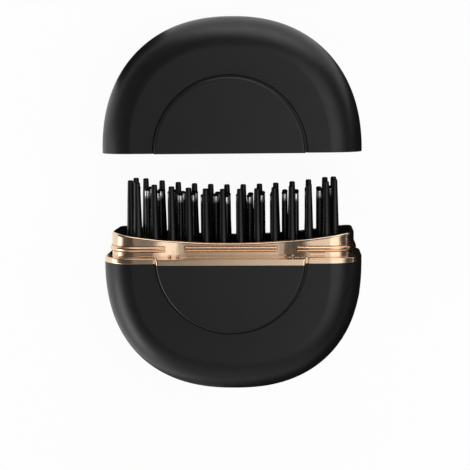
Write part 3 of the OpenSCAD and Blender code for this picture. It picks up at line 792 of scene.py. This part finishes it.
def grow(name, tree, points=((0, 0, 0),), edges=(), **values):
    """Runs a tree on a small starting mesh and returns the plain mesh that it makes."""
    piece = mesh_object(name, points, edges=edges)
    change = modify(piece, "NODES", node_group=tree)
    for item in tree.interface.items_tree:
        key = item.name.replace(" ", "_")
        if item.in_out == "INPUT" and key in values:
            change[item.identifier] = values[key]
    return bake(piece)


# %% Tree: a bead along a line
t, given = new_tree("bead_along_line", Width="Float", Proud="Float")
width, proud = given["Width"], given["Proud"]
line = node(t, "MeshToCurve", {"Mesh": given["Geometry"]})
level = node(t, "SetCurveNormal", {"Curve": line}, mode="Z_UP")
along = node(t, "SplineParameter", output="Length")
total = node(t, "SplineLength", output="Length")
near_end = maths(t, "MINIMUM", along, maths(t, "SUBTRACT", total, along))
share = maths(t, "MINIMUM", maths(t, "DIVIDE", near_end, maths(t, "DIVIDE", width, 2.0)), 1.0)
short = maths(t, "SUBTRACT", 1.0, share)
swell = maths(t, "MAXIMUM", maths(t, "SUBTRACT", 1.0, maths(t, "MULTIPLY", short, short)), 0.0004)
sized = node(t, "SetCurveRadius", {"Curve": level, "Radius": maths(t, "SQRT", swell)})
bar = node(t, "CurvePrimitiveQuadrilateral", {"Width": maths(t, "MULTIPLY", proud, 2.0), "Height": width})
corner = {"Radius": maths(t, "MULTIPLY", proud, 0.92), "Limit Radius": True, "Count": 5}
round_bar = node(t, "FilletCurve", {"Curve": bar, **corner}, mode="POLY")
bead = node(t, "CurveToMesh", {"Curve": sized, "Profile Curve": round_bar, "Fill Caps": True})
beads = end_tree(t, given, bead)

# %% Lines along the neck
neck_walk = [at - out * (neck_inset + hollow(at.x, out)) for at, out in path]
neck_walk.append(neck_walk[0])
walked = [0]
for a, b in zip(neck_walk, neck_walk[1:]):
    walked.append(walked[-1] + (b - a).length)
neck_round = walked[-1]
print(f"once round the neck: {neck_round:.1f} mm")


def neck_line(start, stop, height, spacing=0.25):
    """Points along the neck's outside between two distances round it."""
    count = max(8, int((stop - start) / spacing))
    points = []
    for i in range(count + 1):
        s = (start + (stop - start) * i / count) % neck_round
        k = max(j for j in range(len(walked) - 1) if walked[j] <= s)
        share = (s - walked[k]) / max(walked[k + 1] - walked[k], 1e-9)
        point = neck_walk[k].lerp(neck_walk[k + 1], share)
        points.append((point.x, point.y, height))
    return points


def neck_place(x, front):
    """How far round the neck the point at x lies, on the front or the back."""
    quarter_turn = math.pi / 2 * (edge_r - neck_inset)
    run, end = 2 * (half_w - edge_r), 2 * flat_side
    if not front:
        return quarter_turn + (half_w - edge_r - x)
    return 3 * quarter_turn + run + end + (x + half_w - edge_r)


def rib(name, start, stop, width, proud, height):
    points = neck_line(start, stop, height)
    edges = [(i, i + 1) for i in range(len(points) - 1)]
    return grow(name, beads, points, edges, Width=width, Proud=proud, Material=finishes["rose_gold"])


# %% Ribs, pads and creases
rib_w, rib_proud, rib_z, rib_half, rib_start = 1.6, 0.8, 2.8, 15.4, 22.5
pad_w, pad_proud, pad_z, pad_half, pad_x = 1.4, 0.4, 1.0, 2.8, 28.8
crease, crease_depth = 0.3, 0.3
runs = [(neck_place(rib_start, True), neck_place(rib_start, False) + neck_round),
        (neck_place(-rib_start, False), neck_place(-rib_start, True))]
pads = []
for front in (True, False):
    centre = neck_place(0, front)
    runs.append((centre - rib_half, centre + rib_half))
    pads += [neck_place(side * pad_x, front) for side in (-1, 1)]
ribs = [rib("rib", start, stop, rib_w, rib_proud, rib_z) for start, stop in runs]
ribs += [rib("pad", at - pad_half, at + pad_half, pad_w, pad_proud, pad_z) for at in pads]
for piece in ribs:
    smooth(piece, 50)
creases = [rib("crease", start - crease, stop + crease, rib_w + 2 * crease, crease_depth, rib_z)
           for start, stop in runs]
smooth(carve(collar, creases))
print("ribs and pads:", len(ribs))


# %% Screw bosses and the finished collar
def corners(x, y):
    """The four places that mirror each other in the plan."""
    return [(a, b) for a in (-x, x) for b in (-y, y)]


boss_r, boss_len, boss_hole = 2.4, 7, 0.9
boss = Vector((half_w - edge_r + boss_r, flat_side + boss_r))
profile = [(0, -3), (boss_r, -3), (boss_r, -8.85), (boss_r - 0.15, -9), (boss_hole, -9),
           (boss_hole, -4), (0, -4)]
bosses = [smooth(lathe("boss", profile, 32, moved(x, y))) for x, y in corners(boss.x, boss.y)]
fit(join("collar_look", [collar] + ribs + bosses), "body", "rose_gold", "collar")

# %% [markdown]
# ## The comb
# The comb is a hollow-curved plate on a short wall. The heated teeth come up through round holes.

# %% Comb plate
outside = plan_path(run=66, corner=12, end=1)
wall_in = comb_inset + 1.6
edge = [(comb_inset + 0.25, rim(0, comb_face_r)), (comb_inset + 0.07, rim(0.07, comb_face_r)),
        (comb_inset, rim(0.25, comb_face_r)), (comb_inset, -band_h),
        (wall_in, -band_h), (wall_in, rim(0, comb_under_r))]
comb = ring("comb_look", outside, edge, closed=False)
n = len(outside)
with edited(comb) as shape:
    shape.verts.ensure_lookup_table()
    for layer in (0, len(edge) - 1):
        for k in range(n):
            after = (k + 1) % n
            if outside[k][0].y < 0 and outside[after][0].y < 0:
                across = (k, after, n - 1 - after, n - 1 - k)
                shape.faces.new([shape.verts[layer * n + i] for i in across])
weld(comb)

# %% Holes for the teeth
tooth_pitch, tooth_row, tooth_r = 7.9, 4.6, 1.0
shift = tooth_pitch / 4
tooth_rows = [(8, tooth_pitch, shift, -1.5 * tooth_row), (9, tooth_pitch, shift, -0.5 * tooth_row),
              (9, tooth_pitch, -shift, 0.5 * tooth_row), (8, tooth_pitch, -shift, 1.5 * tooth_row)]
teeth_at = [((i - (count - 1) / 2) * pitch + off, y)
            for count, pitch, off, y in tooth_rows for i in range(count)]
print("heated teeth:", len(teeth_at))
holes = join("holes", [rod("hole", tooth_r + 0.3, -band_h, 14, 28, moved(x, y)) for x, y in teeth_at])
soften(carve(comb, [holes]), 0.1, angle=50)

# %% [markdown]
# ## Rows of pins
# Bristles, teeth and tips all stand in rows on the same curved face. One Geometry Nodes tree lays a
# row of points along it, drops each point onto the curve, and stretches a pin from there to the
# curve that the tips follow. Each row sets its own count, spacing and pin.

# %% Tree: a row of pins on the curve
t, given = new_tree("pin_row", Count="Int", Spacing="Float", Shift="Float", Row="Float",
                    Foot_radius="Float", Foot_height="Float", Top_radius="Float", Centre_height="Float",
                    Pin_length="Float", Pin="Object")
count, spacing, centre = given["Count"], given["Spacing"], given["Centre height"]
half_count = maths(t, "MULTIPLY", maths(t, "SUBTRACT", count, 1.0), 0.5)
first = maths(t, "SUBTRACT", given["Shift"], maths(t, "MULTIPLY", half_count, spacing))
start = node(t, "ShaderNodeCombineXYZ", {"X": first, "Y": given["Row"]})
step = node(t, "ShaderNodeCombineXYZ", {"X": spacing})
row = node(t, "MeshLine", {"Count": count, "Start Location": start, "Offset": step}, mode="OFFSET")
x = node(t, "ShaderNodeSeparateXYZ", {0: node(t, "InputPosition")}, "X")
across = maths(t, "MULTIPLY", x, x)


def drop(radius):
    """How far below the centre a curve of this radius lies at the point."""
    return maths(t, "SQRT", maths(t, "SUBTRACT", maths(t, "MULTIPLY", radius, radius), across))


foot_r = given["Foot radius"]
flat_foot = maths(t, "SUBTRACT", centre, given["Foot height"])
curved = maths(t, "GREATER_THAN", foot_r, 0.0)
foot = node(t, "Switch", {"Switch": curved, "False": flat_foot, "True": drop(foot_r)}, input_type="FLOAT")
down = node(t, "ShaderNodeCombineXYZ", {"Z": maths(t, "SUBTRACT", centre, foot)})
reach = maths(t, "SUBTRACT", foot, drop(given["Top radius"]))
stretch = maths(t, "DIVIDE", reach, given["Pin length"])
size = node(t, "ShaderNodeCombineXYZ", {"X": 1.0, "Y": 1.0, "Z": stretch})
store = node(t, "StoreNamedAttribute", {"Geometry": row, "Name": "stretch", "Value": size},
               data_type="FLOAT_VECTOR", domain="POINT")
placed = node(t, "SetPosition", {"Geometry": store, "Offset": down})
kept = node(t, "InputNamedAttribute", {"Name": "stretch"}, data_type="FLOAT_VECTOR")
pin = node(t, "ObjectInfo", {"Object": given["Pin"]}, "Geometry")
pin_rows = end_tree(t, given, node(t, "InstanceOnPoints", {"Points": placed, "Instance": pin, "Scale": kept}))


# %% Rows of one piece
def pins_in_rows(name, pin, rows, foot_r, top_r, length, finish, foot_height=0.0):
    """Grows each row, given as its count, spacing, shift and place, and joins them."""
    grown = [grow(name, pin_rows, Count=count, Spacing=spacing, Shift=off, Row=y, Foot_radius=foot_r,
                  Foot_height=foot_height, Top_radius=top_r, Centre_height=comb_z, Pin_length=length,
                  Pin=pin, Material=finishes[finish]) for count, spacing, off, y in rows]
    bpy.data.objects.remove(pin)
    return join(name, grown)


# %% [markdown]
# A bristle has a small fillet at its foot, a slow taper and a nearly flat top with a soft edge. Its
# foot reaches a little into the plate.

# %% Bristles
tall_len, tall_foot, tall_tip, tip_soft, foot_sink = 18.0, 1.55, 1.0, 0.42, 0.6
tall_row, tall_pitch, end_x, end_y = 11.5, 5.8, half_w - 9.2, 7.0
bristle_len = tall_len + 0.3 + foot_sink
profile = [(0, 0), (tall_foot + 0.25, 0), (tall_foot + 0.25, 0.6), (tall_foot + 0.08, 0.75),
           (tall_foot, 1.1), (tall_foot - 0.16, 6), (tall_foot - 0.33, 12)]
profile += quarter(tall_tip - tip_soft, bristle_len - tip_soft, tip_soft, 0)
bristle = smooth(lathe("bristle", profile + [(0.3, bristle_len), (0, bristle_len)], 20), 60)

tall_rows = [(12, tall_pitch, 0, -tall_row), (12, tall_pitch, 0, tall_row),
             (2, 2 * end_x, 0, -end_y), (2, 2 * end_x, 0, end_y)]
bristles = pins_in_rows("bristles", bristle, tall_rows, comb_face_r + foot_sink, comb_r - tall_len,
                        bristle_len, "comb_black")

# %% Posts and the finished comb
tray_x = half_w - edge_r - 0.4
plate_x = tray_x + 2.5
plate_top = arc(comb_under_r, 0) - 0.4
post_r, post_at = 1.5, Vector((plate_x - 1.6, 8.4))
post_top = arc(comb_under_r, post_at.x) + 0.5
posts = [smooth(rod("post", post_r, plate_top, post_top, 24, moved(x, y)))
         for x, y in corners(post_at.x, post_at.y)]
fit(join("comb_look", [comb, bristles] + posts), "body", "comb_black", "comb_frame")

# %% [markdown]
# ## The heater and its teeth
# Under the comb lies a heated plate. Its teeth reach up between the bristles, a little shorter than
# them, and each ends in a black tip that keeps the heat off the scalp. Below the tip the neck is bare
# metal, which shows bright by reflecting the lights. Under that the bare metal fades into the dark
# coating over a short stretch, and this fade is painted shade, standing for the shade that the
# bristles round each tooth cast down its neck. An attribute on the tooth's own points carries the
# fade, from 0 where the coating is whole to 1 near the tip, and the finish reads it.

# %% Heated teeth
tooth_short, dome_h, tooth_foot = 2.3, 0.9, 1
tooth_top_r = comb_r - tall_len + tooth_short
tooth_length = arc(tooth_top_r, 0) - dome_h - plate_top + tooth_foot
# painted shade: over this stretch the bare neck fades into the coating, standing for the bristles' shade
painted_fade_from, painted_fade_length = 2.4, 1.3
profile = [(0, 0)] + [(tooth_r, z) for z in (0, 2, 8)]
profile += [(r, tooth_length - below) for r, below in
            ((0.97, painted_fade_from), (0.95, 1.8), (0.93, 1.1), (0.92, 0.5), (0.92, 0), (0, 0))]
tooth = smooth(lathe("tooth", profile, 20), 60)
# the attribute holds the painted fade, from 0 in the coating to 1 on the bare neck
bare_with_painted_fade = tooth.data.attributes.new("bare_with_painted_fade", "FLOAT", "POINT")
for value, vertex in zip(bare_with_painted_fade.data, tooth.data.vertices):
    value.value = max(0.0, min(1.0, (vertex.co.z - tooth_length + painted_fade_from) / painted_fade_length))

profile = [(0, 0), (tooth_r - 0.08, 0), (tooth_r, 0.08), (tooth_r, 0.25)]
profile += quarter(0.36, 0.26, 0.64, 0, 6) + [(0, dome_h)]
tip = smooth(lathe("tip", profile, 20), 60)

teeth = pins_in_rows("teeth", tooth, tooth_rows, 0, tooth_top_r + dome_h, tooth_length,
                     "coated_aluminium", plate_top - tooth_foot)
tips = pins_in_rows("tooth_tips_look", tip, tooth_rows, tooth_top_r + dome_h, tooth_top_r, dome_h,
                    "tip_black")
fit(tips, "body", "tip_black", "tooth_tips")

# %% Heater plate
def block(name, half_x, half_y, low, high):
    points = [(x, y, z) for z in (low, high) for x, y in
              ((-half_x, -half_y), (half_x, -half_y), (half_x, half_y), (-half_x, half_y))]
    faces = [(3, 2, 1, 0), (4, 5, 6, 7), (0, 1, 5, 4), (1, 2, 6, 5), (2, 3, 7, 6), (3, 0, 4, 7)]
    return weld(mesh_object(name, points, faces))


plate_low = plate_top - 2.0
ceramic_low = plate_low - 2.2
tray_wall, clamp_gap, clamp_end = 1.2, 1.3, 2.6
clamp_screws = corners(tray_x - tray_wall - clamp_gap - clamp_end, 6.8)
stud_hole, stud_r, stud_top = 0.9, 2, plate_low + 0.5
stud = [(stud_hole, ceramic_low), (1.85, ceramic_low), (stud_r, ceramic_low + 0.15), (stud_r, stud_top),
        (stud_hole, stud_top)]
plate = soften(block("plate", plate_x, 10, plate_low, plate_top), 0.25, 3)
studs = [smooth(lathe("stud", stud, 28, moved(x, y))) for x, y in clamp_screws]
fit(join("heater_plate_look", [teeth, plate] + studs), "body", "coated_aluminium", "heater_plate")

# %% [markdown]
# ## Screws
# Two sets of four screws hold the heater and the chassis. One screw is made, with a cross in its
# head and a threaded shaft, and a small tree stands a copy at each point that it is given.

# %% Tree: a screw at each point
t, given = new_tree("screws_at_points", Screw="Object")
points = node(t, "MeshToPoints", {"Mesh": given["Geometry"]})
model = node(t, "ObjectInfo", {"Object": given["Screw"]}, "Geometry")
screws_at = end_tree(t, given, node(t, "InstanceOnPoints", {"Points": points, "Instance": model}))


# %% Screws
def screw(length, head_r=1.9, head_t=1.2, thread_r=0.95, step=0.4):
    """A pan head screw whose shaft points up from height 0."""
    head = [(0, -head_t)] + quarter(head_r - 0.5, -head_t + 0.5, 0.5, -90, 4) + [(head_r, 0)]
    thread = []
    for i in range(int(length / step) - 1):
        thread += [(thread_r, i * step + 0.02), (thread_r - 0.14, (i + 0.5) * step)]
    shaft = thread + [(thread_r - 0.1, length - step), (0.3, length), (0, length)]
    cross = [block("cross", x, y, -head_t - 1, -head_t + 0.6) for x, y in ((1.1, 0.25), (0.25, 1.1))]
    return smooth(carve(lathe("screw", head + shaft, 20), cross), 40)


for name, spots, low, length in (
        ("heater_screws", clamp_screws, ceramic_low - 0.8, 3.0),
        ("chassis_screws", corners(boss.x, boss.y), -band_h - boss_len - 1.6, 6.6)):
    one = screw(length)
    four = grow(name + "_look", screws_at, [(x, y, low) for x, y in spots], Screw=one,
                Material=finishes["screw_steel"])
    bpy.data.objects.remove(one)
    fit(four, "body", "screw_steel", name)

# %% [markdown]
# ## The power button
# The button sits in the body's right end: a dished cap, a frosted ring that lights up round it, and
# a rose gold bezel. All three are turned about the same axis, which is square to the dome there.

# %% Button, ring and bezel
def on_button(name, profile):
    return smooth(lathe(name, profile, 64, ON_BUTTON), 40)


dish_steps, dish_share, dish_depth = 8, 0.86, 0.32
dish = [(button_r * dish_share * i / dish_steps, -dish_depth * (1 - (i / dish_steps) ** 2))
        for i in range(dish_steps, -1, -1)]
stem = [(0, -5.2), (1.5, -5.2), (1.5, -4), (ring_out - 0.2, -4), (ring_out - 0.2, -3.05),
        (button_r, -3.05), (button_r, -0.4)]
button = on_button("power_button_look", stem + quarter(button_r - 0.3, -0.3, 0.3, 0) + dish)
fit(button, "button", "button_black", "power_button")

top = quarter(ring_in + 0.12, -0.02, 0.12, 90, 4, -1) + quarter(ring_out - 0.12, -0.02, 0.12, 0, 4, -1)
light_ring = on_button("light_ring_look", [(ring_in, -3)] + top + [(ring_out, -3)])
fit(light_ring, "body", "diffuser", "light_ring")

top = quarter(ring_out + 0.2, -0.05, 0.2, 90, 4, -1) + quarter(bezel_out - 0.25, -0.1, 0.25, 0, 5, -1)
flange = [(bezel_out, -3.1), (bezel_out + 1, -3.1), (bezel_out + 1, -4.2), (bezel_out, -4.2)]
bezel = on_button("button_bezel_look", top + flange + [(bezel_out, -5), (ring_out, -5)])
fit(bezel, "body", "rose_gold", "button_bezel")

# %% [markdown]
# ## The charging socket
# A drawn steel shell with a black tongue and a row of gilt contacts on each side of it. The
# contacts repeat, so they grow from the same tree as the pins.

# %% Charging socket
socket_low, socket_h, wall, socket_back = -body_h + 0.3, 7.4, 0.35, 1
contact_len, contact_low, contact_pitch, contact_row = 3.5, socket_low + 1.4, 0.85, 0.36
inside = stadium("inside", socket_w - 2 * wall, socket_t - 2 * wall, socket_low - 1,
                 socket_low + socket_h - socket_back, 20)
socket = stadium("usb_socket_look", socket_w, socket_t, socket_low, socket_low + socket_h, 20)
soften(carve(socket, [inside]), 0.07)
socket.data.materials.append(finishes["socket_steel"])
tongue = soften(block("tongue", 2.9, 0.35, socket_low + 1, socket_low + 6.9), 0.12)
tongue.data.materials.append(finishes["comb_black"])
contact = soften(block("contact", 0.14, 0.04, 0, contact_len), 0.02, 1)
contacts = pins_in_rows("contacts", contact, [(6, contact_pitch, 0, -contact_row),
                                              (6, contact_pitch, 0, contact_row)],
                        0, comb_z - socket_low - 4.9, contact_len, "contact_gold", contact_low)
fit(join("usb_socket_look", [socket, tongue, contacts]), "body", "socket_steel", "usb_socket")

# %% [markdown]
# ## Finish the pieces inside
# The heater, the cells and the boards are never seen while the brush is whole. Their plain solids
# stay as they are and only get a finish each.

# %% Finish the nodes that stay
slots = {p["node"]: p["material_slot"] for p in frame["record"]["subparts"]}
for name, kept in frame["nodes"].items():
    if not kept.hide_render:
        kept.data.materials.clear()
        kept.data.materials.append(finishes[slots[name]])
        print("kept from the model:", name)

# %% [markdown]
# ## Compare and finish
# The dressed brush must be as large as the model that it dresses, so both boxes are measured and their largest
# difference is printed.

# %% Compare the boxes and finish
seen_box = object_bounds()
boxes = [[list(corner) for corner in box] for box in (cad_box, seen_box)]
gaps = [abs(a - b) for cad, seen in zip(*boxes) for a, b in zip(cad, seen)]
print("largest difference in mm:", round(max(gaps) * MM, 2))
